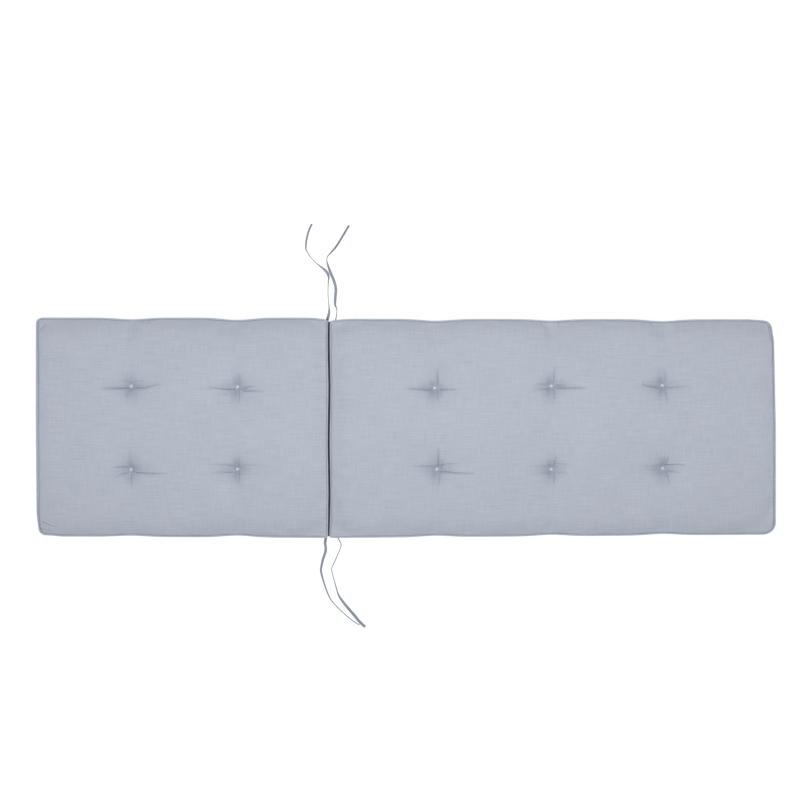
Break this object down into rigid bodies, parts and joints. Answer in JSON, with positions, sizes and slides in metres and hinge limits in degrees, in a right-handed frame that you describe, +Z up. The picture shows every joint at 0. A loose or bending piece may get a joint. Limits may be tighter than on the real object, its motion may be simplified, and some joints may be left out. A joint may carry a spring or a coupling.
{
  "type": "sun lounger cushion",
  "caption": "Long flat outdoor cushion in a shorter back section and a longer seat section, tufted with buttons, piped round the top edge, joined at a fold, with flat ties.",
  "frame": {"origin": "on the ground, under the middle of the pad without its ties", "axes": "+X along the pad from the head end to the foot end, +Y across it to the rear edge, +Z up"},
  "size_m": [1.918, 1.0522, 0.056],
  "materials": {
    "cover_cloth": "matt plain weave, pale grey blue",
    "piping_cloth": "matt plain weave wrapped round a cord",
    "button_cover": "smooth pale cloth with a slight sheen",
    "hinge_cloth": "matt plain weave",
    "tie_tape": "matt folded tape"
  },
  "bodies": {
    "root": {"back_pad": "cover_cloth", "seat_pad": "cover_cloth", "back_piping": "piping_cloth", "seat_piping": "piping_cloth", "button_1": "button_cover", "button_2": "button_cover", "button_3": "button_cover", "button_4": "button_cover", "button_5": "button_cover", "button_6": "button_cover", "button_7": "button_cover", "button_8": "button_cover", "button_9": "button_cover", "button_10": "button_cover", "fold_hinge": "hinge_cloth", "tie_rear_back": "tie_tape", "tie_rear_seat": "tie_tape", "tie_front_back": "tie_tape", "tie_front_seat": "tie_tape"}
  },
  "joints": []
}
